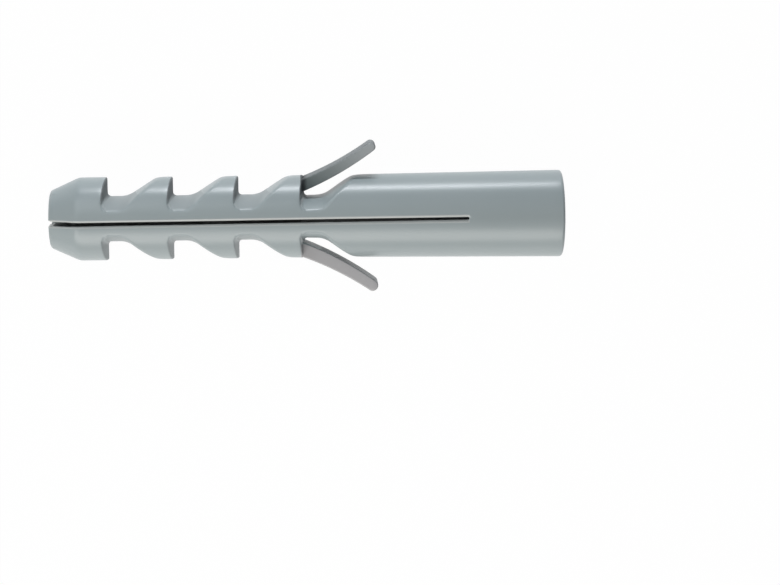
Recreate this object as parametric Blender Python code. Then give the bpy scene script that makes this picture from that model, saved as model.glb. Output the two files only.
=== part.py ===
"""Nylon wall plug for a 10 mm hole, 60 mm long, moulded in one piece.

Units are metres. The plug lies on its side: +X runs from the nose to the head, the
two spring wings point along +Y and -Y, and the long slot opens towards +Z and -Z.
A place along the plug is measured from the nose's end face, and a height from its axis.
"""

import math

import bmesh
import bpy
import numpy as np
from mathutils import Vector

# Head, and how far the body and the nose lie inside its radius
PLUG_LENGTH = 0.0600
PLUG_DIAMETER = 0.0100
BODY_RELIEF = 0.0002
NOSE_RELIEF = 0.00015
RIM_RADIUS = 0.00035

# Nose
NOSE_TIP_DIAMETER = 0.0067
NOSE_CONE_LENGTH = 0.0034
NOSE_EDGE_RADIUS = 0.0005
NOSE_SHOULDER_RADIUS = 0.0020

# Screw bore, open from the head to the nose
BORE_DIAMETER = 0.0066
BORE_STRAIGHT_LENGTH = 0.0140
BORE_TAPER_LENGTH = 0.0110
PILOT_DIAMETER = 0.0028
PILOT_TIP_DIAMETER = 0.0018
MOUTH_CHAMFER = 0.0004

# Saw-tooth notches in both sides, the last pair with room for the wings
NOTCH_COUNT = 4
NOTCH_PITCH = 0.0077
FIRST_FACE = 0.0065
FLOOR_LENGTH = 0.0023
RAMP_LENGTH = 0.0036
FLOOR_CROWN_HEIGHT = 0.00255
FLOOR_EDGE_HEIGHT = 0.00147
FACE_DRAFT = math.radians(2.5)
FACE_FOOT_RADIUS = 0.0004
RAMP_BLEND_RADIUS = 0.0030
CREST_EXIT_ANGLE = math.radians(8.0)

# Slot that lets the two halves spread
SLOT_LENGTH = 0.0489
SLOT_WIDTH = 0.00040
SLOT_NOSE_WIDTH = 0.00055
SLOT_LIP_RADIUS = 0.0003
SLOT_ENTRY_RADIUS = 0.0006

# Spring wings, rooted in the last steep faces below the body's surface
WING_LENGTH = 0.00980
WING_THICKNESS = 0.00150
WING_TIP_THICKNESS = 0.00120
WING_WIDTH = 0.0034
WING_EDGE_RADIUS = 0.00030
WING_ROOT_DROP = 0.00100
WING_ROOT_ANGLE = math.radians(20.6)
WING_TIP_ANGLE = math.radians(35.5)
WING_ROOT_DEPTH = 0.0010

# Fineness of the facets, and how far a cutter reaches past what it cuts
FACETS = 48
ARC_STEPS = 4
NOTCH_STATIONS = 18
WING_STATIONS = 10
CUTTER_MARGIN = 0.0005
LIP_SWEEP = math.radians(68.0)
WING_TIP_SWEEP = math.radians(80.0)

NYLON_GREY = (0.40, 0.43, 0.44, 1.0)
NYLON_ROUGHNESS = 0.42
SHARP_ANGLE = math.radians(28.0)

LAST_FACE = FIRST_FACE + (NOTCH_COUNT - 1) * NOTCH_PITCH
SHOULDER = LAST_FACE + FLOOR_LENGTH + RAMP_LENGTH
HEAD_RADIUS = PLUG_DIAMETER / 2
BODY_RADIUS = HEAD_RADIUS - BODY_RELIEF
NOSE_RADIUS = HEAD_RADIUS - NOSE_RELIEF
CLEAR_HEIGHT = HEAD_RADIUS + CUTTER_MARGIN

# The plug lies on a flat facet, centred over the origin
PLACE = Vector((-PLUG_LENGTH / 2, 0, HEAD_RADIUS * math.cos(math.pi / FACETS)))


def clear_scene():
    for obj in list(bpy.data.objects):
        bpy.data.objects.remove(obj, do_unlink=True)


def nylon():
    """Grey moulded nylon with a satin skin."""
    material = bpy.data.materials.new("grey_nylon")
    material.use_nodes = True
    shader = material.node_tree.nodes["Principled BSDF"]
    shader.inputs["Base Color"].default_value = NYLON_GREY
    shader.inputs["Roughness"].default_value = NYLON_ROUGHNESS
    shader.inputs["Metallic"].default_value = 0.0
    return material


def new_object(name, bm):
    """An object in its place, from a mesh whose faces are turned outwards."""
    bmesh.ops.recalc_face_normals(bm, faces=bm.faces)
    mesh = bpy.data.meshes.new(name)
    bm.to_mesh(mesh)
    bm.free()
    obj = bpy.data.objects.new(name, mesh)
    obj.location = PLACE
    bpy.context.scene.collection.objects.link(obj)
    return obj


def rounded(corners):
    """The outline through corners given as (x, y, radius), with an arc at each radius."""
    outline = []
    for i, (x, y, radius) in enumerate(corners):
        corner = Vector((x, y))
        if radius == 0:
            outline.append(corner)
            continue
        back = (Vector(corners[i - 1][:2]) - corner).normalized()
        ahead = (Vector(corners[(i + 1) % len(corners)][:2]) - corner).normalized()
        half_angle = back.angle(ahead) / 2
        centre = corner + (back + ahead).normalized() * radius / math.sin(half_angle)
        first = corner + back * radius / math.tan(half_angle) - centre
        last = corner + ahead * radius / math.tan(half_angle) - centre
        start = math.atan2(first.y, first.x)
        sweep = math.atan2(first.cross(last), first.dot(last))
        for step in range(ARC_STEPS + 1):
            angle = start + sweep * step / ARC_STEPS
            outline.append(centre + radius * Vector((math.cos(angle), math.sin(angle))))
    return outline


def loft(bm, rings):
    """Adds a closed skin over rings that have the same number of points."""
    loops = [[bm.verts.new(point) for point in ring] for ring in rings]
    for near, far in zip(loops, loops[1:]):
        for i in range(len(near)):
            bm.faces.new((near[i - 1], near[i], far[i], far[i - 1]))
    bm.faces.new(loops[0])
    bm.faces.new(loops[-1])


def outer_radius(x):
    """Radius of the body before anything is cut from it."""
    places = (0, NOSE_CONE_LENGTH, FIRST_FACE, FIRST_FACE + NOTCH_PITCH, SHOULDER, PLUG_LENGTH)
    tip_radius = NOSE_TIP_DIAMETER / 2
    radii = (tip_radius, NOSE_RADIUS, NOSE_RADIUS, BODY_RADIUS, BODY_RADIUS, HEAD_RADIUS)
    return float(np.interp(x, places, radii))


def turned_body():
    """The body and its bore, turned from one closed profile."""
    taper_start = PLUG_LENGTH - BORE_STRAIGHT_LENGTH
    mouth_radius = BORE_DIAMETER / 2 + MOUTH_CHAMFER
    profile = rounded(
        [
            (0, PILOT_TIP_DIAMETER / 2, 0),
            (0, NOSE_TIP_DIAMETER / 2, NOSE_EDGE_RADIUS),
            (NOSE_CONE_LENGTH, NOSE_RADIUS, NOSE_SHOULDER_RADIUS),
            (FIRST_FACE, NOSE_RADIUS, 0),
            (FIRST_FACE + NOTCH_PITCH, BODY_RADIUS, 0),
            (SHOULDER, BODY_RADIUS, 0),
            (PLUG_LENGTH, HEAD_RADIUS, RIM_RADIUS),
            (PLUG_LENGTH, mouth_radius, 0),
            (PLUG_LENGTH - MOUTH_CHAMFER, BORE_DIAMETER / 2, 0),
            (taper_start, BORE_DIAMETER / 2, 0),
            (taper_start - BORE_TAPER_LENGTH, PILOT_DIAMETER / 2, 0),
        ]
    )
    half_facet = math.pi / FACETS
    bm = bmesh.new()
    points = [
        bm.verts.new((x, r * math.cos(half_facet), r * math.sin(half_facet)))
        for x, r in profile
    ]
    edges = [bm.edges.new((points[i - 1], points[i])) for i in range(len(points))]
    bmesh.ops.spin(
        bm,
        geom=points + edges,
        cent=(0, 0, 0),
        axis=(1, 0, 0),
        angle=math.tau,
        steps=FACETS,
        use_merge=True,
    )
    return new_object("plug_body", bm)


def floor_fall(z):
    """How far a notch's convex floor lies below its crown, at a depth z from the middle."""
    edge_depth = math.sqrt(BODY_RADIUS**2 - FLOOR_EDGE_HEIGHT**2)
    rise = FLOOR_CROWN_HEIGHT - FLOOR_EDGE_HEIGHT
    crown_radius = (edge_depth**2 + rise**2) / (2 * rise)
    return crown_radius - math.sqrt(crown_radius**2 - z**2)


def notch_section(face, z):
    """One notch in the plane z: steep face, floor and ramp, closed above the body."""
    floor = FLOOR_CROWN_HEIGHT - floor_fall(z)
    steep = face - abs(z) * math.tan(FACE_DRAFT)
    crest = BODY_RADIUS - floor_fall(z)
    ramp_end = face + FLOOR_LENGTH + RAMP_LENGTH
    exit_run = (CLEAR_HEIGHT - BODY_RADIUS) / math.tan(CREST_EXIT_ANGLE)
    return rounded(
        [
            (steep, CLEAR_HEIGHT, 0),
            (steep, floor, FACE_FOOT_RADIUS),
            (face + FLOOR_LENGTH, floor, RAMP_BLEND_RADIUS),
            (ramp_end, crest, RAMP_BLEND_RADIUS),
            (ramp_end + exit_run, crest + CLEAR_HEIGHT - BODY_RADIUS, 0),
            (ramp_end + exit_run, CLEAR_HEIGHT, 0),
        ]
    )


def notch_cutters():
    """The saw-tooth notches of both sides, each lofted through the body's depth."""
    bm = bmesh.new()
    depths = np.linspace(-CLEAR_HEIGHT, CLEAR_HEIGHT, NOTCH_STATIONS + 1)
    for number in range(NOTCH_COUNT):
        face = FIRST_FACE + number * NOTCH_PITCH
        for side in (1, -1):
            loft(bm, [[(x, side * y, z) for x, y in notch_section(face, z)] for z in depths])
    return new_object("notch_cutters", bm)


def lip(radius):
    """Steps (outward, ahead) round a lip, from a wall to just past the surface it opens in."""
    steps = [LIP_SWEEP * step / ARC_STEPS for step in range(ARC_STEPS + 1)]
    curve = [(radius * (1 - math.cos(a)), radius * (math.sin(a) - 1)) for a in steps]
    run = (CUTTER_MARGIN - curve[-1][1]) / math.cos(LIP_SWEEP)
    curve.append((curve[-1][0] + run * math.sin(LIP_SWEEP), CUTTER_MARGIN))
    return curve


def slot_outline(offset):
    """The slot from the front, widened all round by an offset: nose entry, sides, round end."""
    end_radius = SLOT_WIDTH / 2
    end_centre = SLOT_LENGTH - end_radius
    side = [(-ahead, outward) for outward, ahead in reversed(lip(SLOT_ENTRY_RADIUS))]
    side += [(x, 0) for x in (NOSE_CONE_LENGTH, FIRST_FACE, FIRST_FACE + NOTCH_PITCH, SHOULDER)]
    side.append((end_centre, 0))
    widths = (SLOT_NOSE_WIDTH, SLOT_WIDTH)
    upper = [
        Vector((x, float(np.interp(x, (0, end_centre), widths)) / 2 + extra + offset))
        for x, extra in side
    ]
    lower = [Vector((x, -y)) for x, y in reversed(upper)]
    turns = [math.pi / 2 - math.pi * step / (2 * ARC_STEPS) for step in range(1, 2 * ARC_STEPS)]
    radius = end_radius + offset
    end = [Vector((end_centre + radius * math.cos(a), radius * math.sin(a))) for a in turns]
    return upper + end + lower


def slot_cutter():
    """The slot through both walls, with rounded lips that follow the body's surface."""
    levels = []
    for outward, ahead in lip(SLOT_LIP_RADIUS):
        outline = slot_outline(outward)
        levels.append([(x, y, outer_radius(x) + ahead) for x, y in outline])
    levels.append([(x, y, CLEAR_HEIGHT + CUTTER_MARGIN) for x, y, _ in levels[-1]])
    mirrored = [[(x, y, -z) for x, y, z in level] for level in reversed(levels)]
    bm = bmesh.new()
    loft(bm, mirrored + levels)
    return new_object("slot_cutter", bm)


def wing_rings(side):
    """Sections of one wing, from inside its root along a bend to its round tip."""
    straight = WING_LENGTH - WING_TIP_THICKNESS / 2
    tip_scale = WING_TIP_THICKNESS / WING_THICKNESS
    runs = [-WING_ROOT_DEPTH]
    scales = [1]
    for share in np.linspace(0, 1, WING_STATIONS + 1):
        runs.append(straight * share)
        scales.append(1 + share * (tip_scale - 1))
    for turn in np.linspace(0, WING_TIP_SWEEP, ARC_STEPS + 1)[1:]:
        runs.append(straight + WING_TIP_THICKNESS / 2 * math.sin(turn))
        scales.append(tip_scale * math.cos(turn))

    half_width = WING_WIDTH / 2
    half_thickness = WING_THICKNESS / 2
    section = rounded(
        [
            (-half_width, -half_thickness, WING_EDGE_RADIUS),
            (half_width, -half_thickness, WING_EDGE_RADIUS),
            (half_width, half_thickness, WING_EDGE_RADIUS),
            (-half_width, half_thickness, WING_EDGE_RADIUS),
        ]
    )

    rings = []
    centre = Vector((LAST_FACE, BODY_RADIUS - WING_ROOT_DROP))
    reached = 0
    for run, scale in zip(runs, scales):
        angle = np.interp(run, (0, straight), (WING_ROOT_ANGLE, WING_TIP_ANGLE))
        along = Vector((math.cos(angle), math.sin(angle)))
        across = Vector((-along.y, along.x)) * scale
        centre = centre + along * (run - reached)
        reached = run
        ring = [(centre + across * y, z) for z, y in section]
        rings.append([(point.x, side * point.y, z) for point, z in ring])
    return rings


def wings():
    """Both wings, each reaching into the tooth that carries it."""
    bm = bmesh.new()
    for side in (1, -1):
        loft(bm, wing_rings(side))
    return new_object("wings", bm)


def combine(body, tool, operation):
    """Cuts a tool from the body, or joins it to the body, and hides the tool."""
    modifier = body.modifiers.new(tool.name, "BOOLEAN")
    modifier.operation = operation
    modifier.solver = "EXACT"
    modifier.object = tool
    tool.hide_render = True
    tool.display_type = "WIRE"


def apply_modifiers(obj):
    graph = bpy.context.evaluated_depsgraph_get()
    mesh = bpy.data.meshes.new_from_object(obj.evaluated_get(graph))
    obj.modifiers.clear()
    obj.data = mesh


def build_plug():
    body = turned_body()
    combine(body, notch_cutters(), "DIFFERENCE")
    combine(body, slot_cutter(), "DIFFERENCE")
    combine(body, wings(), "UNION")
    apply_modifiers(body)
    body.data.materials.clear()
    body.data.materials.append(nylon())
    body.data.shade_smooth()
    body.data.set_sharp_from_angle(angle=SHARP_ANGLE)


clear_scene()
build_plug()
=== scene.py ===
# %% [markdown]
# # A nylon wall plug
# The plug is one grey moulding, 60 mm long. It has a tapered nose, saw-tooth notches in
# both sides, two spring wings, a long slot that lets its halves spread, and a plain collar.
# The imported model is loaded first, because every place and size here comes from it.

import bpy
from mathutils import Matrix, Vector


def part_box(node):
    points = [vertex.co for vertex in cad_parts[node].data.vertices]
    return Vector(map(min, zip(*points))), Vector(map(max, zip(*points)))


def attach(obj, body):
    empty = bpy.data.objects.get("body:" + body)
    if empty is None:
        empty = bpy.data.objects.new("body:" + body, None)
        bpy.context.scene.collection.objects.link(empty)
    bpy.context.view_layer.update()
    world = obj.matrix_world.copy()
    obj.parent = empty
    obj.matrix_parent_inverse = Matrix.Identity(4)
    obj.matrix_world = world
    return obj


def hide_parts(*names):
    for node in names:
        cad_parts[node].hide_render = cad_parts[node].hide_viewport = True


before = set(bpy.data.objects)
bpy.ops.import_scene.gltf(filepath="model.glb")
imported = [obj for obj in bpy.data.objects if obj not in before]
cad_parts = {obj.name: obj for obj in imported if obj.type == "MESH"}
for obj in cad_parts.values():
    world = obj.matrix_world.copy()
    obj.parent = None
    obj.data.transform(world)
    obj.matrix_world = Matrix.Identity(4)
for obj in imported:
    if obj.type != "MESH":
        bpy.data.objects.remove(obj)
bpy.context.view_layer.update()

import math

import bmesh
import bpy
import numpy as np
from mathutils import Matrix, Vector

MM = 0.001
low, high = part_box("plug_body")
PLUG_LENGTH = high.x - low.x
AXIS = Vector((0, 0, (low.z + high.z) / 2))
NOSE_X = low.x
print(f"plug {PLUG_LENGTH / MM:.1f} mm long, axis {AXIS.z / MM:.2f} mm above the floor")

# %% [markdown]
# ## The camera
# The photographer looked almost straight down on the plug, from a few degrees towards its
# upper wing, so the slot lies a little below the middle. The picture was cropped with the
# plug at its upper left, which the camera's shift repeats without turning the view.

# %% Camera
CAMERA_DISTANCE = 271 * MM
CAMERA_TILT = math.radians(7.6)
CAMERA_ROLL = math.radians(0.72)
FOCAL_LENGTH = 106.3
SENSOR_WIDTH = 36
NEAREST, FARTHEST = 10 * MM, 5
PICTURE_WIDTH = 780
MIDDLE_OF_PICTURE = (390, 292.5)
MIDDLE_OF_PLUG = (306, 216.15)

camera = bpy.data.objects.new("camera", bpy.data.cameras.new("camera"))
bpy.context.scene.collection.objects.link(camera)
bpy.context.scene.camera = camera
turn = Matrix.Rotation(-CAMERA_TILT, 4, "X") @ Matrix.Rotation(-CAMERA_ROLL, 4, "Z")
camera.matrix_world = Matrix.Translation(AXIS) @ turn @ Matrix.Translation((0, 0, CAMERA_DISTANCE))
camera.data.lens = FOCAL_LENGTH
camera.data.sensor_width = SENSOR_WIDTH
camera.data.shift_x = (MIDDLE_OF_PICTURE[0] - MIDDLE_OF_PLUG[0]) / PICTURE_WIDTH
camera.data.shift_y = (MIDDLE_OF_PLUG[1] - MIDDLE_OF_PICTURE[1]) / PICTURE_WIDTH
camera.data.clip_start = NEAREST
camera.data.clip_end = FARTHEST
print("camera at", [round(v / MM, 1) for v in camera.matrix_world.translation])

# %% [markdown]
# ## Floor and light
# The plug lies on a white table. A low light strip stands on the upper side of the picture
# and makes the long bright line on the plug's shoulder. A large soft box on the lower side,
# nearer the nose than the head, and a smaller one past the nose light the rest. Little light
# comes from the camera's side, which leaves the middle darker. The floor is white because of
# its own colour as the camera sees it, and still takes the plug's soft shadow.

# %% Floor
FLOOR_SIZE = 4.0
FLOOR_GREY = (0.86, 0.86, 0.86, 1)
FLOOR_WHITENESS = 0.985

bpy.ops.object.select_all(action="DESELECT")
bpy.ops.mesh.primitive_plane_add(size=FLOOR_SIZE)
floor = bpy.context.object
floor.name = "floor"

floor_finish = bpy.data.materials.new("white_table")
floor_finish.use_nodes = True
nodes, links = floor_finish.node_tree.nodes, floor_finish.node_tree.links
nodes.clear()
output = nodes.new("ShaderNodeOutputMaterial")
matt = nodes.new("ShaderNodeBsdfDiffuse")
matt.inputs["Color"].default_value = FLOOR_GREY
white = nodes.new("ShaderNodeEmission")
path = nodes.new("ShaderNodeLightPath")
seen = nodes.new("ShaderNodeMath")
seen.operation = "ADD"
seen_through = nodes.new("ShaderNodeMath")
seen_through.operation = "ADD"
share = nodes.new("ShaderNodeMath")
share.operation = "MULTIPLY"
share.inputs[1].default_value = FLOOR_WHITENESS
mix = nodes.new("ShaderNodeMixShader")
links.new(path.outputs["Is Camera Ray"], seen.inputs[0])
links.new(path.outputs["Is Glossy Ray"], seen.inputs[1])
links.new(seen.outputs[0], seen_through.inputs[0])
links.new(path.outputs["Is Transmission Ray"], seen_through.inputs[1])
links.new(seen_through.outputs[0], share.inputs[0])
links.new(share.outputs[0], mix.inputs["Fac"])
links.new(matt.outputs["BSDF"], mix.inputs[1])
links.new(white.outputs["Emission"], mix.inputs[2])
links.new(mix.outputs["Shader"], output.inputs["Surface"])
floor.data.materials.append(floor_finish)
print("floor:", FLOOR_SIZE, "m square,", FLOOR_WHITENESS, "white to the camera")


# %% A lamp that faces the plug
def soft_box(name, place, size, radiance, colour):
    """A rectangular lamp that faces the plug, its first side level."""
    lamp = bpy.data.lights.new(name, "AREA")
    lamp.shape = "RECTANGLE"
    lamp.size, lamp.size_y = size
    lamp.energy = math.pi * size[0] * size[1] * radiance
    lamp.color = colour
    box = bpy.data.objects.new(name, lamp)
    bpy.context.scene.collection.objects.link(box)
    back = (Vector(place) - AXIS).normalized()
    side = Vector((0, 0, 1)).cross(back).normalized()
    up = back.cross(side)
    turn = Matrix((side, up, back)).transposed().to_4x4()
    box.matrix_world = Matrix.Translation(place) @ turn
    print(name, round(lamp.energy, 3), "W")
    return box


# %% Three lamps and the room
KEY_RADIANCE = 148.0
FILL_RADIANCE = 4.05
SIDE_RADIANCE = 2.0
ROOM_LIGHT = 0.16
KEY_COLOUR = (0.93, 0.96, 1.0)
FILL_COLOUR = (1.0, 0.97, 0.94)
ROOM_COLOUR = (0.93, 0.97, 1.0, 1)
LAMPS_IN_MM = [
    ("light_strip", (10, 250, 4), (90, 7), KEY_RADIANCE, KEY_COLOUR),
    ("lower_soft_box", (-65, -220, 200), (360, 180), FILL_RADIANCE, FILL_COLOUR),
    ("nose_soft_box", (-80, 145, 140), (140, 140), SIDE_RADIANCE, ROOM_COLOUR[:3]),
]
for name, place, size, radiance, colour in LAMPS_IN_MM:
    soft_box(name, [v * MM for v in place], [v * MM for v in size], radiance, colour)

world = bpy.data.worlds.new("room")
world.use_nodes = True
world.node_tree.nodes["Background"].inputs["Color"].default_value = ROOM_COLOUR
world.node_tree.nodes["Background"].inputs["Strength"].default_value = ROOM_LIGHT
bpy.context.scene.world = world
bpy.context.scene.view_settings.view_transform = "Standard"

# %% [markdown]
# ## The toothed skin
# On the real plug a mould closes on a round bar and bites notches from its sides: a steep
# face, a floor that bulges a little, and a flatter ramp that rises to the next tooth. Its
# edges are softly rounded. Cutting the notches with Booleans would leave knife edges that no
# bevel follows well along such a curve. So a cylinder is cut into many rings, and each ring's
# points are moved in or out in code, where one smooth minimum of the bar's radius and the
# notch's gives every edge its round.

# %% The bar's outline and the notch's outline
NOSE_TIP_RADIUS = 3.35 * MM
NOSE_RADIUS = 4.89 * MM
BODY_RADIUS = 4.86 * MM
HEAD_RADIUS = 5.09 * MM
CONE_LENGTH = 3.4 * MM
NOSE_ROUND = 0.5 * MM
SHOULDER_ROUND = 2.0 * MM
FIRST_FACE = 6.75 * MM
PITCH = 7.68 * MM
TEETH = 4
LAST_FACE = FIRST_FACE + (TEETH - 1) * PITCH
RAMP_START = 2.3 * MM
RAMP_END = 5.9 * MM
RIM_ROUND = 0.35 * MM


def rounded(corners, steps=12):
    """Points along a path with a round at each corner, given as (x, y, radius)."""
    points = []
    for i, (x, y, radius) in enumerate(corners):
        corner = Vector((x, y))
        if not radius:
            points.append(corner)
            continue
        back = (Vector(corners[i - 1][:2]) - corner).normalized()
        ahead = (Vector(corners[i + 1][:2]) - corner).normalized()
        half = back.angle(ahead) / 2
        centre = corner + (back + ahead).normalized() * radius / math.sin(half)
        first = corner + back * radius / math.tan(half) - centre
        last = corner + ahead * radius / math.tan(half) - centre
        start = math.atan2(first.y, first.x)
        sweep = math.atan2(first.cross(last), first.dot(last))
        for angle in np.linspace(start, start + sweep, steps + 1):
            points.append(centre + radius * Vector((math.cos(angle), math.sin(angle))))
    return np.array(points)


def resampled(points, spacing):
    """The same path with points about the spacing apart."""
    lengths = np.hypot(*np.diff(points, axis=0).T)
    reached = np.concatenate(([0], np.cumsum(lengths)))
    places = np.linspace(0, reached[-1], max(2, round(reached[-1] / spacing) + 1))
    return np.stack([np.interp(places, reached, points[:, i]) for i in (0, 1)], axis=1)


bar = rounded(
    [
        (0, NOSE_TIP_RADIUS - NOSE_ROUND, 0),
        (0, NOSE_TIP_RADIUS, NOSE_ROUND),
        (CONE_LENGTH, NOSE_RADIUS, SHOULDER_ROUND),
        (FIRST_FACE, NOSE_RADIUS, 0),
        (FIRST_FACE + PITCH, BODY_RADIUS, 0),
        (LAST_FACE + RAMP_END, BODY_RADIUS, 0),
        (PLUG_LENGTH, HEAD_RADIUS, RIM_ROUND),
        (PLUG_LENGTH, HEAD_RADIUS - RIM_ROUND, 0),
    ]
)[1:-1]
print("bar outline:", len(bar), "points")

# %% Rings round the nose and the notches
FLOOR_CROWN = 2.60 * MM
FLOOR_EDGE = 1.47 * MM
LAST_FLOOR_DROP = 0.16 * MM
RAMP_ROUND = 3.0 * MM
RAMP_EXIT = (2.2 * MM, 0.31 * MM)
LAST_RUN = 8.1 * MM
NO_NOTCH = 9 * MM
NOT_STEEP = -1.0
STEEP_RINGS = 15
STEEP_REACH = 0.45 * MM
FLOOR_START = 0.6 * MM
NOSE_STEP, PLAIN_STEP, NOTCH_STEP = 0.14 * MM, 0.3 * MM, 0.16 * MM
ramp = rounded(
    [
        (0, FLOOR_CROWN, 0),
        (RAMP_START, FLOOR_CROWN, RAMP_ROUND),
        (RAMP_END, BODY_RADIUS, RAMP_ROUND),
        (RAMP_END + RAMP_EXIT[0], BODY_RADIUS + RAMP_EXIT[1], 0),
    ]
)


def plain_ring(x):
    """A ring of the bar itself: its place, radius, notch height and phase."""
    return (x, np.interp(x, bar[:, 0], bar[:, 1]), NO_NOTCH, NOT_STEEP)


nose = bar[bar[:, 0] < CONE_LENGTH + MM]
rings = [(x, r, NO_NOTCH, NOT_STEEP) for x, r in resampled(nose, NOSE_STEP)]
for x in np.arange(CONE_LENGTH + 1.1 * MM, FIRST_FACE - 2 * STEEP_REACH, PLAIN_STEP):
    rings.append(plain_ring(x))
for tooth in range(TEETH):
    face = FIRST_FACE + tooth * PITCH
    last = tooth == TEETH - 1
    drop = LAST_FLOOR_DROP if last else 0
    run = LAST_RUN if last else PITCH
    for phase in np.linspace(0, 1, STEEP_RINGS):
        rings.append(plain_ring(face)[:2] + (FLOOR_CROWN - drop, phase))
    for x in np.arange(FLOOR_START, run - 2 * STEEP_REACH, NOTCH_STEP):
        height = np.interp(x, ramp[:, 0], ramp[:, 1]) - drop * max(0, 1 - x / RAMP_END)
        rings.append(plain_ring(face + x)[:2] + (height, NOT_STEEP))
print(len(rings), "rings up to the last ramp's end")

# %% Rings round the collar and the rim
SLOT_END = 48.9 * MM
COLLAR_STEP, SLOT_END_STEP, RIM_STEP = 0.8 * MM, 0.07 * MM, 0.06 * MM
RIM_START = PLUG_LENGTH - 0.5 * MM
PASS_CUTS = 3
collar = np.concatenate(
    (
        np.arange(rings[-1][0] + 0.4 * MM, SLOT_END - 0.9 * MM, COLLAR_STEP),
        np.arange(SLOT_END - 0.9 * MM, SLOT_END + 0.8 * MM, SLOT_END_STEP),
        np.arange(SLOT_END + 1.2 * MM, PLUG_LENGTH - 0.9 * MM, COLLAR_STEP),
    )
)
collar_start = len(rings)
rings += [plain_ring(x) for x in collar]
rim = bar[bar[:, 0] > RIM_START]
rings += [(x, r, NO_NOTCH, NOT_STEEP) for x, r in resampled(rim, RIM_STEP)]
while (len(rings) - 1) % (PASS_CUTS + 1):
    between = (rings[collar_start - 1][0] + rings[collar_start][0]) / 2
    rings.insert(collar_start, plain_ring(between))
rings = np.array(rings)
print(len(rings), "rings, out of order:", int((np.diff(rings[:, 0]) < 0).sum()))

# %% A cylinder with as many rings, lying along X
COLUMNS = 192

bpy.ops.object.select_all(action="DESELECT")
bpy.ops.mesh.primitive_cylinder_add(
    vertices=COLUMNS,
    radius=HEAD_RADIUS,
    depth=PLUG_LENGTH,
    end_fill_type="NOTHING",
    location=AXIS,
    rotation=(0, math.pi / 2, 0),
)
plug = bpy.context.object
plug.name = "plug"
bpy.ops.object.transform_apply(location=True, rotation=True, scale=True)
bpy.ops.object.mode_set(mode="EDIT")
bpy.ops.mesh.select_mode(type="EDGE")
for cuts in (PASS_CUTS, (len(rings) - 1) // (PASS_CUTS + 1) - 1):
    bpy.ops.mesh.select_all(action="DESELECT")
    skin = bmesh.from_edit_mesh(plug.data)
    for edge in skin.edges:
        edge.select = abs(edge.verts[0].co.x - edge.verts[1].co.x) > MM
    bmesh.update_edit_mesh(plug.data)
    bpy.ops.mesh.subdivide(number_cuts=cuts)
bpy.ops.object.mode_set(mode="OBJECT")
print("cylinder:", len(plug.data.vertices), "points")

# %% The notches' radius at each point
EDGE_ROUND = 0.28 * MM
CROWDING = 0.55
RAMP_FLATNESS = 2.2
half_depth = math.sqrt(BODY_RADIUS**2 - FLOOR_EDGE**2)
rise = FLOOR_CROWN - FLOOR_EDGE
FLOOR_BULGE_RADIUS = (half_depth**2 + rise**2) / (2 * rise)


def smooth_minimum(a, b, reach):
    """The smaller of two values, with a round where they cross."""
    share = np.clip(0.5 + 0.5 * (b - a) / reach, 0, 1)
    return b + (a - b) * share - reach * share * (1 - share)


places = np.zeros(len(plug.data.vertices) * 3)
plug.data.vertices.foreach_get("co", places)
places = places.reshape(-1, 3)
ring = np.rint((places[:, 0] - NOSE_X) / PLUG_LENGTH * (len(rings) - 1)).astype(int)
angle = np.arctan2(places[:, 2] - AXIS.z, places[:, 1])
angle = angle + CROWDING * np.sin(2 * angle) / 2
along, across = np.abs(np.cos(angle)), np.sin(angle)
x, bar_r, height, phase = rings[ring].T
climb = np.clip((height - FLOOR_CROWN) / (BODY_RADIUS - FLOOR_CROWN), 0, 1)
bulge = FLOOR_BULGE_RADIUS * (1 + RAMP_FLATNESS * climb)
centre = height - bulge
notch_r = centre * along + np.sqrt(bulge**2 - (centre * across) ** 2)
radius = smooth_minimum(bar_r, notch_r, EDGE_ROUND)
print("floors bulge on a radius of", round(FLOOR_BULGE_RADIUS / MM, 2), "mm")

# %% The steep faces, with a round crest and a round foot
CREST_ROUND = 0.21 * MM
FOOT_ROUND = 0.50 * MM
DRAFT = math.tan(math.radians(6.0))
depth = bar_r - radius
fit = np.clip(depth / (CREST_ROUND + FOOT_ROUND), 0, 1)
crest, foot = CREST_ROUND * fit, FOOT_ROUND * fit
turn_1 = np.clip(phase * 3, 0, 1) * math.pi / 2
fall = np.clip(phase * 3 - 1, 0, 1)
turn_2 = np.clip(phase * 3 - 2, 0, 1) * math.pi / 2
steep_x = x - crest * (1 - np.sin(turn_1)) + foot * (1 - np.cos(turn_2))
steep_fall = crest * (1 - np.cos(turn_1)) + (depth - crest - foot) * fall
steep_fall = steep_fall + foot * np.sin(turn_2)
land_x = x + STEEP_REACH * (2 * phase - 1)
steep = phase >= 0
radius = np.where(steep, bar_r - steep_fall, radius)
x = np.where(steep, land_x + (steep_x - land_x) * fit, x)
x = x - np.where(steep, fit, 0) * np.abs(across) * radius * DRAFT
print("deepest notch:", round(depth.max() / MM, 2), "mm")

# %% The slot's lips, and the points put in their places
SLOT_HALF_WIDTH = (0.22 * MM, 0.17 * MM)
SLOT_PIVOT = 20 * MM
SLOT_YAW = math.radians(0.27)
LIP_ROUND = 0.30 * MM
LIP_START, LIP_LIMIT = 0.94, 0.985
slot_half = np.interp(x, (0, SLOT_END), SLOT_HALF_WIDTH)
slot_y = (x - SLOT_PIVOT) * math.tan(SLOT_YAW)
past_end = np.maximum(x - (SLOT_END - SLOT_HALF_WIDTH[1]), 0)
off_slot = np.hypot(past_end, radius * np.cos(angle) - slot_y)
inward = np.clip(slot_half + LIP_START * LIP_ROUND - off_slot, 0, LIP_LIMIT * LIP_ROUND)
radius = radius - (LIP_ROUND - np.sqrt(LIP_ROUND**2 - inward**2))

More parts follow.
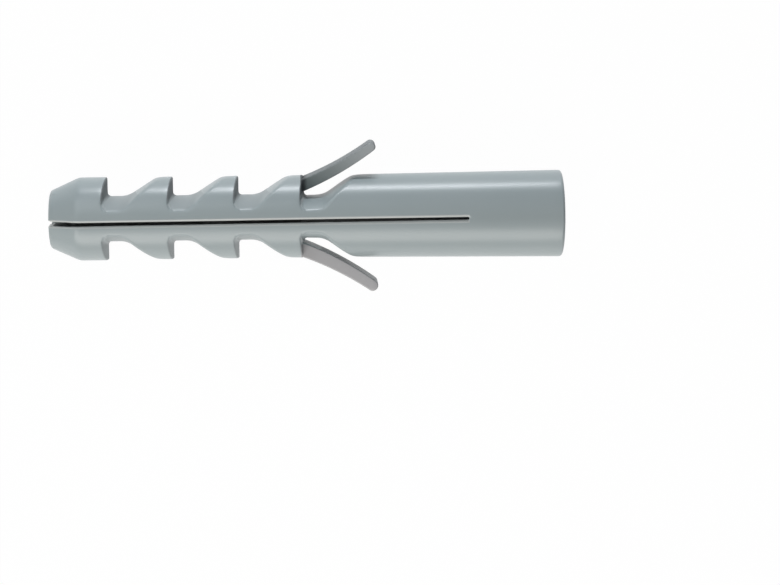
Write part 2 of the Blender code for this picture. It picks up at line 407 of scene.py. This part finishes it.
places[:, 0] = NOSE_X + x
places[:, 1] = radius * np.cos(angle)
places[:, 2] = AXIS.z + radius * np.sin(angle)
plug.data.vertices.foreach_set("co", places.ravel())
plug.data.update()
print("skin:", [round(v / MM, 2) for v in plug.dimensions])

# %% [markdown]
# ## The bore
# The screw enters through a round bore in the head that narrows towards the nose. The
# skin is still an open tube, so its edge at the head is extruded inwards ring by ring, as a
# drill would leave it, and the last ring is bridged to the edge at the nose. That closes
# the piece without a Boolean.

# %% Extrude the bore
BORE_RADIUS = 3.30 * MM
PILOT_RADIUS = 1.40 * MM
PILOT_TIP_RADIUS = 0.90 * MM
MOUTH_CHAMFER = 0.4 * MM
STRAIGHT_END = PLUG_LENGTH - 14 * MM
TAPER_END = STRAIGHT_END - 11 * MM
BORE = [
    (PLUG_LENGTH, BORE_RADIUS + MOUTH_CHAMFER),
    (PLUG_LENGTH - MOUTH_CHAMFER, BORE_RADIUS),
    (STRAIGHT_END, BORE_RADIUS),
    (TAPER_END, PILOT_RADIUS),
    (0, PILOT_TIP_RADIUS),
]


def select_points(mesh, test):
    """Selects the points that pass a test of their place, and all between them."""
    bpy.ops.mesh.select_mode(type="VERT")
    bpy.ops.mesh.select_all(action="DESELECT")
    shape = bmesh.from_edit_mesh(mesh)
    for point in shape.verts:
        point.select = test(point.co)
    shape.select_flush_mode()
    bmesh.update_edit_mesh(mesh)


CLOSE = 0.001 * MM
bpy.ops.object.mode_set(mode="EDIT")
select_points(plug.data, lambda co: co.x > NOSE_X + PLUG_LENGTH - CLOSE)
reached, wide = PLUG_LENGTH, HEAD_RADIUS - RIM_ROUND
for x, radius in BORE:
    bpy.ops.mesh.extrude_region_move(TRANSFORM_OT_translate={"value": (x - reached, 0, 0)})
    middle = (NOSE_X + x, 0, AXIS.z)
    scale = (1, radius / wide, radius / wide)
    bpy.ops.transform.resize(value=scale, center_override=middle)
    reached, wide = x, radius
select_points(plug.data, lambda co: co.x < NOSE_X + CLOSE)
bpy.ops.mesh.select_mode(type="EDGE")
bpy.ops.mesh.bridge_edge_loops()
bpy.ops.mesh.select_all(action="SELECT")
bpy.ops.mesh.normals_make_consistent(inside=False)
bpy.ops.object.mode_set(mode="OBJECT")
print("with its bore:", len(plug.data.polygons), "faces")

# %% [markdown]
# ## The slot
# A thin blade in the mould leaves the slot. The skin already has its rounded lips, so a
# plain blade is enough to cut it: a cube stretched long and thin, with a round far end and
# a mouth that widens at the nose.

# %% The blade
bpy.ops.object.select_all(action="DESELECT")
bpy.ops.mesh.primitive_cube_add(size=1)
blade = bpy.context.object
blade.name = "slot_blade"
BLADE_OVERRUN = 1.0 * MM
BLADE_HEIGHT = 14 * MM
BLADE_END_ROUND = 0.995 * SLOT_HALF_WIDTH[1]
BLADE_END_STEPS = 6
blade.scale = (SLOT_END + BLADE_OVERRUN, 2 * SLOT_HALF_WIDTH[1], BLADE_HEIGHT)
blade.location = (NOSE_X + (SLOT_END - BLADE_OVERRUN) / 2, 0, AXIS.z)
bpy.ops.object.transform_apply(location=True, rotation=True, scale=True)
bpy.ops.object.mode_set(mode="EDIT")
select_points(blade.data, lambda co: co.x > 0)
bpy.ops.mesh.select_mode(type="EDGE")
shape = bmesh.from_edit_mesh(blade.data)
for edge in shape.edges:
    upright = abs(edge.verts[0].co.z - edge.verts[1].co.z) > MM
    edge.select = edge.select and upright
bmesh.update_edit_mesh(blade.data)
bpy.ops.mesh.bevel(offset=BLADE_END_ROUND, segments=BLADE_END_STEPS, affect="EDGES")
print("blade's far end is rounded to", round(BLADE_END_ROUND / MM, 3), "mm")

# %% Widen its mouth
MOUTH = [
    (1.0 * MM, 0.225 * MM),
    (0.6 * MM, 0.25 * MM),
    (0.3 * MM, 0.29 * MM),
    (0.1 * MM, 0.34 * MM),
]
MOUTH_START = (-BLADE_OVERRUN, 0.6 * MM)
for x, _ in MOUTH:
    bpy.ops.mesh.select_all(action="SELECT")
    bpy.ops.mesh.bisect(plane_co=(NOSE_X + x, 0, 0), plane_no=(1, 0, 0))
for x, half_width in MOUTH + [MOUTH_START]:
    select_points(blade.data, lambda co: abs(co.x - NOSE_X - x) < 10 * CLOSE)
    wider = half_width / SLOT_HALF_WIDTH[1]
    bpy.ops.transform.resize(value=(1, wider, 1), center_override=(0, 0, AXIS.z))
bpy.ops.mesh.select_all(action="SELECT")
pivot = (NOSE_X + SLOT_PIVOT, 0, AXIS.z)
bpy.ops.transform.rotate(value=-SLOT_YAW, orient_axis="Z", center_override=pivot)
bpy.ops.object.mode_set(mode="OBJECT")
print("blade with its mouth:", [round(v / MM, 2) for v in blade.dimensions])


# %% Cut the slot
def apply_boolean(piece, tool, operation):
    """Cuts the tool from the piece or joins it to the piece, and deletes the tool."""
    step = piece.modifiers.new(tool.name, "BOOLEAN")
    step.operation = operation
    step.solver = "EXACT"
    step.object = tool
    bpy.context.view_layer.objects.active = piece
    bpy.ops.object.modifier_apply(modifier=step.name)
    bpy.data.objects.remove(tool)
    print(f"{operation.lower()}: {len(piece.data.polygons)} faces")


apply_boolean(plug, blade, "DIFFERENCE")

# %% [markdown]
# ## The wings
# Each wing is a flat springy finger that grows out of the last steep face and bends away
# from the plug, so that it grips the hole. It starts as a small rectangle inside the tooth,
# which is extruded along the bend and turned a little at each step. Bevels round its tip
# and its long edges, and a union makes it one with the tooth, as it is in the mould.

# %% Extrude and turn a strip
WING_WIDTH = 3.4 * MM
WING_ROOT_DEPTH = 1.0 * MM
WING_STEPS = 10


def bent_strip(name, side, root_height, length, thickness, angles):
    """A strip with its thickness and its angle in degrees at the root and at the tip."""
    root_angle, tip_angle = (side * math.radians(angle) for angle in angles)
    ahead = Vector((math.cos(root_angle), math.sin(root_angle), 0))
    root = Vector((NOSE_X + LAST_FACE, side * root_height, AXIS.z))
    bpy.ops.object.select_all(action="DESELECT")
    bpy.ops.mesh.primitive_plane_add(
        size=1,
        location=root - ahead * WING_ROOT_DEPTH,
        rotation=(0, math.pi / 2, root_angle),
    )
    strip = bpy.context.object
    strip.name = name
    strip.scale = (WING_WIDTH, thickness[0], 1)
    bpy.ops.object.transform_apply(location=True, rotation=True, scale=True)
    bpy.ops.object.mode_set(mode="EDIT")
    bpy.ops.mesh.select_mode(type="FACE")
    bpy.ops.mesh.select_all(action="SELECT")
    bpy.ops.mesh.extrude_region_move(
        TRANSFORM_OT_translate={"value": ahead * WING_ROOT_DEPTH}
    )
    middle, angle = root, root_angle
    step, bend = length / WING_STEPS, (tip_angle - root_angle) / WING_STEPS
    thinner = (thickness[1] / thickness[0]) ** (1 / WING_STEPS)
    for _ in range(WING_STEPS):
        ahead = Vector((math.cos(angle + bend / 2), math.sin(angle + bend / 2), 0)) * step
        bpy.ops.mesh.extrude_region_move(TRANSFORM_OT_translate={"value": ahead})
        middle, angle = middle + ahead, angle + bend
        bpy.ops.transform.rotate(value=-bend, orient_axis="Z", center_override=middle)
        bpy.ops.transform.resize(value=(thinner, thinner, 1), center_override=middle)
    shape = bmesh.from_edit_mesh(strip.data)
    end = Vector((math.cos(angle), math.sin(angle), 0))
    print(name, "tip turned", [round(f.normal.dot(end), 3) for f in shape.faces if f.select])
    return strip


# %% Round its tip and its edges
WING_TIP_ROUND = 0.98
WING_TIP_STEPS = 6
WING_EDGE_ROUND = 0.16 * MM
WING_EDGE_STEPS = 3
WING_EDGE_ANGLE = math.radians(50)


def rounded_wing(strip, tip_thickness):
    """The strip, whose last face is still selected, with a round tip and soft edges."""
    bpy.ops.mesh.select_mode(type="EDGE")
    shape = bmesh.from_edit_mesh(strip.data)
    for edge in shape.edges:
        upright = abs(edge.verts[0].co.z - edge.verts[1].co.z) > MM
        edge.select = edge.select and upright
    bmesh.update_edit_mesh(strip.data)
    tip_round = WING_TIP_ROUND * tip_thickness / 2
    bpy.ops.mesh.bevel(offset=tip_round, segments=WING_TIP_STEPS, affect="EDGES")
    bpy.ops.mesh.select_all(action="SELECT")
    bpy.ops.mesh.normals_make_consistent(inside=False)
    bpy.ops.object.mode_set(mode="OBJECT")
    edges = strip.modifiers.new("edges", "BEVEL")
    edges.width = WING_EDGE_ROUND
    edges.segments = WING_EDGE_STEPS
    edges.angle_limit = WING_EDGE_ANGLE
    bpy.ops.object.modifier_apply(modifier=edges.name)
    print(strip.name, "has", len(strip.data.polygons), "faces")
    return strip


# %% Two wings, joined to the last teeth
WINGS_IN_MM = [
    ("upper_wing", 1, 3.91, 9.55, (1.39, 1.08), (22.0, 36.8)),
    ("lower_wing", -1, 3.82, 9.70, (1.66, 1.28), (21.4, 36.2)),
]
tools = []
for name, side, root_height, length, thickness, angles in WINGS_IN_MM:
    thickness = [t * MM for t in thickness]
    strip = bent_strip(name, side, root_height * MM, length * MM, thickness, angles)
    tools.append(rounded_wing(strip, thickness[1]))
for tool in tools:
    apply_boolean(plug, tool, "UNION")

# %% Smooth shading with crisp corners
SMOOTH_ANGLE = math.radians(38)

bpy.ops.object.select_all(action="DESELECT")
plug.select_set(True)
bpy.context.view_layer.objects.active = plug
bpy.ops.object.shade_smooth_by_angle(angle=SMOOTH_ANGLE)
even = plug.modifiers.new("even", "WEIGHTED_NORMAL")
even.keep_sharp = True
bpy.ops.object.modifier_apply(modifier=even.name)
shape = bmesh.new()
shape.from_mesh(plug.data)
print("open edges:", sum(not edge.is_manifold for edge in shape.edges))
print("volume:", round(shape.calc_volume() / MM**3, 1), "cubic mm")
shape.free()

# %% [markdown]
# ## The nylon
# Moulded nylon is a little cloudy: its grey drifts slightly over the piece, a fine grain
# from the mould's wall breaks up its shine, and its skin reflects softly. The steep faces,
# the wings' edges and, a little, the notch floors are rougher and painted darker as painted
# shade. The wings are a paler, less blue grey, the lower one painted lighter as if lit, and
# painted shade darkens the upper one towards its root. Painted shade nearly blackens the
# crease behind it and the inside of the slot, and a painted highlight makes the slot's lips
# paler. Each of these marks is a mask, which a node group works out from the place and the
# direction of each face.

# %% Helpers for node groups
def new_group(name, vectors, values, results):
    """A node group, the sockets that bring in its inputs, and those of its results."""
    group = bpy.data.node_groups.new(name, "ShaderNodeTree")
    for socket in vectors:
        group.interface.new_socket(socket, in_out="INPUT", socket_type="NodeSocketVector")
    for socket in values:
        group.interface.new_socket(socket, in_out="INPUT", socket_type="NodeSocketFloat")
    for socket in results:
        group.interface.new_socket(socket, in_out="OUTPUT", socket_type="NodeSocketFloat")
    entry, result = group.nodes.new("NodeGroupInput"), group.nodes.new("NodeGroupOutput")
    print(f"group {name}: {len(vectors) + len(values)} inputs, {len(results)} outputs")
    return group, entry.outputs, result.inputs


def calculate(group, operation, *values):
    """A Math node fed by plain numbers and by other sockets."""
    node = group.nodes.new("ShaderNodeMath")
    node.operation = operation
    for socket, value in zip(node.inputs, values):
        if isinstance(value, float):
            socket.default_value = value
        else:
            group.links.new(value, socket)
    return node.outputs[0]


def fade(group, value, start, end):
    """A smooth mask that is 0 at the start and 1 at the end."""
    node = group.nodes.new("ShaderNodeMapRange")
    node.interpolation_type = "SMOOTHSTEP"
    node.inputs["From Min"].default_value = start
    node.inputs["From Max"].default_value = end
    group.links.new(value, node.inputs["Value"])
    return node.outputs["Result"]


def split(group, vector):
    """The three coordinates of a vector."""
    node = group.nodes.new("ShaderNodeSeparateXYZ")
    group.links.new(vector, node.inputs[0])
    return node.outputs


# %% A group for the moulded grain
NOISE_DETAIL = {"Grain": 3.0, "Cloud": 4.0}
NOISE_ROUGHNESS = 0.55


def moulded_grain():
    """Fine grain and slow cloudiness of a moulded skin."""
    group, given, made = new_group(
        "moulded_grain", ("Place",), ("Grain Scale", "Cloud Scale"), ("Grain", "Cloud")
    )
    for name, detail in NOISE_DETAIL.items():
        noise = group.nodes.new("ShaderNodeTexNoise")
        noise.inputs["Detail"].default_value = detail
        noise.inputs["Roughness"].default_value = NOISE_ROUGHNESS
        group.links.new(given["Place"], noise.inputs["Vector"])
        group.links.new(given[f"{name} Scale"], noise.inputs["Scale"])
        group.links.new(noise.outputs["Fac"], made[name])
    return group


# %% A group for the wings
UPPER_WING_LIGHT_SHARE = 0.45
UPPER_EDGE_SHADE, LOWER_EDGE_SHADE = 0.80, 0.45
FLAT_SIDE, TURNED_EDGE = 0.97, 0.6
CREASE_FULL = 0.4


def wing_marks():
    """Masks of painted light and shade for the wings, their edges, and the upper wing's root and
    crease.
    """
    group, given, made = new_group(
        "wing_marks",
        ("Place", "Facing"),
        ("Wing Root", "Wing Height", "Wing Slope", "Root Length", "Crease Length"),
        ("Wing Tint And Light", "Edges", "Upper Root Shade", "Crease"),
    )
    at = split(group, given["Place"])
    height = calculate(group, "ABSOLUTE", at["Y"])
    past = calculate(group, "SUBTRACT", at["X"], given["Wing Root"])
    line = calculate(group, "MULTIPLY_ADD", past, given["Wing Slope"], given["Wing Height"])
    outside = calculate(group, "GREATER_THAN", height, line)
    behind = calculate(group, "GREATER_THAN", past, 0.0)
    wings = calculate(group, "MULTIPLY", outside, behind)
    # The wings take a paler, less blue grey; the lower one is painted lighter as if lit, and the
    # upper one takes less of it as painted shade.
    upper = calculate(group, "GREATER_THAN", at["Y"], 0.0)
    share = calculate(group, "MULTIPLY_ADD", upper, UPPER_WING_LIGHT_SHARE - 1, 1.0)
    group.links.new(calculate(group, "MULTIPLY", wings, share), made["Wing Tint And Light"])

    # The wings' turned edges: painted shade, stronger on the upper wing, and more roughness.
    flat = calculate(group, "ABSOLUTE", split(group, given["Facing"])["Z"])
    edges = calculate(group, "MULTIPLY", wings, fade(group, flat, FLAT_SIDE, TURNED_EDGE))
    more = UPPER_EDGE_SHADE - LOWER_EDGE_SHADE
    share = calculate(group, "MULTIPLY_ADD", upper, more, LOWER_EDGE_SHADE)
    group.links.new(calculate(group, "MULTIPLY", edges, share), made["Edges"])

    upper_wing = calculate(group, "MULTIPLY", wings, upper)
    # Painted shade darkens the upper wing towards its root.
    near = calculate(group, "DIVIDE", past, given["Root Length"])
    root = calculate(group, "MULTIPLY", upper_wing, fade(group, near, 1.0, 0.0))
    group.links.new(root, made["Upper Root Shade"])
    # Painted shade nearly blackens the crease behind the upper wing.
    near = calculate(group, "DIVIDE", past, given["Crease Length"])
    crease = calculate(group, "MULTIPLY", upper_wing, fade(group, near, 1.0, CREASE_FULL))
    group.links.new(crease, made["Crease"])
    return group


# %% A group for the notches
CLEAR_OF_FLOOR = (1.4, 2.0)
STEEP_FACING = (0.15, 0.55)
LOWER_STEEP_SHADE = 0.3
FLOOR_LIMIT = 2.2
FLOOR_FACING = (0.7, 0.9)
FLOOR_SHADE_SHARE = 0.3


def notch_marks():
    """Masks of painted shade, and more roughness, for the steep faces and the notch floors."""
    group, given, made = new_group(
        "notch_marks",
        ("Place", "Facing"),
        ("Floor Edge", "Wing Root", "Collar"),
        ("Matt Steep Shade", "Matt Floor Shade"),
    )
    at, facing = split(group, given["Place"]), split(group, given["Facing"])
    height = calculate(group, "ABSOLUTE", at["Y"])
    height = calculate(group, "DIVIDE", height, given["Floor Edge"])
    before_collar = calculate(group, "LESS_THAN", at["X"], given["Collar"])
    clear = calculate(group, "MULTIPLY", before_collar, fade(group, height, *CLEAR_OF_FLOOR))
    # The steep faces: painted shade, weaker on the lower side, and more roughness.
    upper = calculate(group, "GREATER_THAN", at["Y"], 0.0)
    share = calculate(group, "MAXIMUM", upper, LOWER_STEEP_SHADE)
    steep = calculate(group, "MULTIPLY", clear, fade(group, facing["X"], *STEEP_FACING))
    group.links.new(calculate(group, "MULTIPLY", steep, share), made["Matt Steep Shade"])

    # The notch floors: a little painted shade and more roughness.
    low = calculate(group, "LESS_THAN", height, FLOOR_LIMIT)
    sideways = calculate(group, "ABSOLUTE", facing["Y"])
    before_wings = calculate(group, "LESS_THAN", at["X"], given["Wing Root"])
    floors = calculate(group, "MULTIPLY", low, fade(group, sideways, *FLOOR_FACING))
    floors = calculate(group, "MULTIPLY", floors, before_wings)
    group.links.new(calculate(group, "MULTIPLY", floors, FLOOR_SHADE_SHARE), made["Matt Floor Shade"])
    return group


# %% A group for the slot
def slot_marks():
    """Masks for the painted highlight on the slot's lips and the painted shade inside it."""
    group, given, made = new_group(
        "slot_marks",
        ("Place",),
        ("Pivot", "Slope", "Half Width", "End", "Lip Width", "Skin Depth", "Axis Height"),
        ("Lip Highlight", "Slot Shade"),
    )
    at = split(group, given["Place"])
    # A painted highlight along the slot's lips.
    past = calculate(group, "SUBTRACT", at["X"], given["Pivot"])
    back = calculate(group, "MULTIPLY", given["Slope"], -1.0)
    off_line = calculate(group, "MULTIPLY_ADD", past, back, at["Y"])
    off_line = calculate(group, "ABSOLUTE", off_line)
    off_wall = calculate(group, "SUBTRACT", off_line, given["Half Width"])
    off_wall = calculate(group, "DIVIDE", off_wall, given["Lip Width"])
    before_end = calculate(group, "LESS_THAN", at["X"], given["End"])
    lips = calculate(group, "MULTIPLY", before_end, fade(group, off_wall, 1.0, 0.5))
    group.links.new(lips, made["Lip Highlight"])

    # Painted shade blackens the inside of the slot.
    up = calculate(group, "SUBTRACT", at["Z"], given["Axis Height"])
    up = calculate(group, "ABSOLUTE", up)
    deep = calculate(group, "LESS_THAN", up, given["Skin Depth"])
    inside = calculate(group, "MULTIPLY", before_end, fade(group, off_wall, 0.1, 0.0))
    group.links.new(calculate(group, "MULTIPLY", deep, inside), made["Slot Shade"])
    return group


# %% The groups placed in the grey nylon
WING_ROOT = NOSE_X + LAST_FACE - 0.4 * MM

nylon = bpy.data.materials.new("grey_nylon")
nylon.use_nodes = True
nodes, links = nylon.node_tree.nodes, nylon.node_tree.links
shader = nodes["Principled BSDF"]
place = nodes.new("ShaderNodeTexCoord")


def placed(tree, **values):
    """A group in the material, with its own values, and what it puts out."""
    node = nodes.new("ShaderNodeGroup")
    node.node_tree = tree
    for name, value in values.items():
        node.inputs[name.replace("_", " ").title()].default_value = value
    links.new(place.outputs["Object"], node.inputs["Place"])
    if "Facing" in node.inputs:
        links.new(place.outputs["Normal"], node.inputs["Facing"])
    return node.outputs


grain = placed(moulded_grain(), grain_scale=4000, cloud_scale=120)
wings = placed(
    wing_marks(),
    wing_root=WING_ROOT,
    wing_height=2.95 * MM,
    wing_slope=0.36,
    root_length=9.5 * MM,
    crease_length=0.9 * MM,
)
notches = placed(
    notch_marks(),
    floor_edge=FLOOR_EDGE,
    wing_root=WING_ROOT,
    collar=NOSE_X + 50 * MM,
)
slot = placed(
    slot_marks(),
    pivot=NOSE_X + SLOT_PIVOT,
    slope=math.tan(SLOT_YAW),
    half_width=SLOT_HALF_WIDTH[0] + 0.02 * MM,
    end=NOSE_X + SLOT_END,
    lip_width=LIP_ROUND,
    skin_depth=BODY_RADIUS - 0.4 * MM,
    axis_height=AXIS.z,
)

# %% Its colours
NYLON_DARK = (0.345, 0.40, 0.41, 1)
NYLON_LIGHT = (0.375, 0.425, 0.435, 1)
# The wings' paler grey: their own tint, with painted light making the lower wing lighter.
WING_TINT_AND_PAINTED_LIGHT = (0.475, 0.470, 0.478, 1)
# Painted shade at the upper wing's root.
PAINTED_ROOT_SHADE = (0.20, 0.235, 0.235, 1)
# Painted shade for the steep faces, the wings' edges and the notch floors.
PAINTED_SHADE_OF_MATT_FACES = (0.21, 0.225, 0.23, 1)
# Painted shade in the crease behind the upper wing.
PAINTED_CREASE_SHADE = (0.07, 0.08, 0.085, 1)
# A painted highlight on the slot's lips.
PAINTED_LIP_HIGHLIGHT = (0.52, 0.55, 0.54, 1)
# Painted shade inside the slot.
PAINTED_SLOT_SHADE = (0.05, 0.055, 0.06, 1)


def most(first, second):
    """The larger of two masks."""
    node = nodes.new("ShaderNodeMath")
    node.operation = "MAXIMUM"
    links.new(first, node.inputs[0])
    links.new(second, node.inputs[1])
    return node.outputs[0]


def blend(first, second, share):
    """A colour between two, by a share that varies over the piece."""
    mix = nodes.new("ShaderNodeMix")
    mix.data_type = "RGBA"
    for socket, colour in ((mix.inputs["A"], first), (mix.inputs["B"], second)):
        if isinstance(colour, tuple):
            socket.default_value = colour
        else:
            links.new(colour, socket)
    links.new(share, mix.inputs["Factor"])
    return mix.outputs["Result"]


# Painted shade and more roughness on the steep faces, the wings' edges and the notch floors.
matt_and_shade_mask = most(most(notches["Matt Steep Shade"], wings["Edges"]), notches["Matt Floor Shade"])
tint = blend(NYLON_DARK, NYLON_LIGHT, grain["Cloud"])
for colour, mask in (
    (WING_TINT_AND_PAINTED_LIGHT, wings["Wing Tint And Light"]),
    (PAINTED_ROOT_SHADE, wings["Upper Root Shade"]),
    (PAINTED_SHADE_OF_MATT_FACES, matt_and_shade_mask),
    (PAINTED_CREASE_SHADE, wings["Crease"]),
    (PAINTED_LIP_HIGHLIGHT, slot["Lip Highlight"]),
    (PAINTED_SLOT_SHADE, slot["Slot Shade"]),
):
    tint = blend(tint, colour, mask)
links.new(tint, shader.inputs["Base Color"])

# %% Its shine and its grain
SHINY, DULL, MATT = 0.30, 0.35, 0.7
GRAIN_LOW, GRAIN_HIGH = 0.3, 0.7
GRAIN_STRENGTH, GRAIN_DEPTH = 0.15, 0.01 * MM

shine = nodes.new("ShaderNodeMapRange")
shine.inputs["From Min"].default_value = GRAIN_LOW
shine.inputs["From Max"].default_value = GRAIN_HIGH
shine.inputs["To Min"].default_value = SHINY
shine.inputs["To Max"].default_value = DULL
links.new(grain["Grain"], shine.inputs["Value"])
roughness = nodes.new("ShaderNodeMapRange")
roughness.inputs["To Max"].default_value = MATT
links.new(matt_and_shade_mask, roughness.inputs["Value"])
links.new(shine.outputs["Result"], roughness.inputs["To Min"])
links.new(roughness.outputs["Result"], shader.inputs["Roughness"])
bump = nodes.new("ShaderNodeBump")
bump.inputs["Strength"].default_value = GRAIN_STRENGTH
bump.inputs["Distance"].default_value = GRAIN_DEPTH
links.new(grain["Grain"], bump.inputs["Height"])
links.new(bump.outputs["Normal"], shader.inputs["Normal"])
plug.data.materials.clear()
plug.data.materials.append(nylon)
print("grey_nylon:", len(nodes), "nodes")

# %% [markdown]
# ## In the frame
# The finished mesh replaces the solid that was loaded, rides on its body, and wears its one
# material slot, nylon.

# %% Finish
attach(plug, "root")
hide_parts("plug_body")
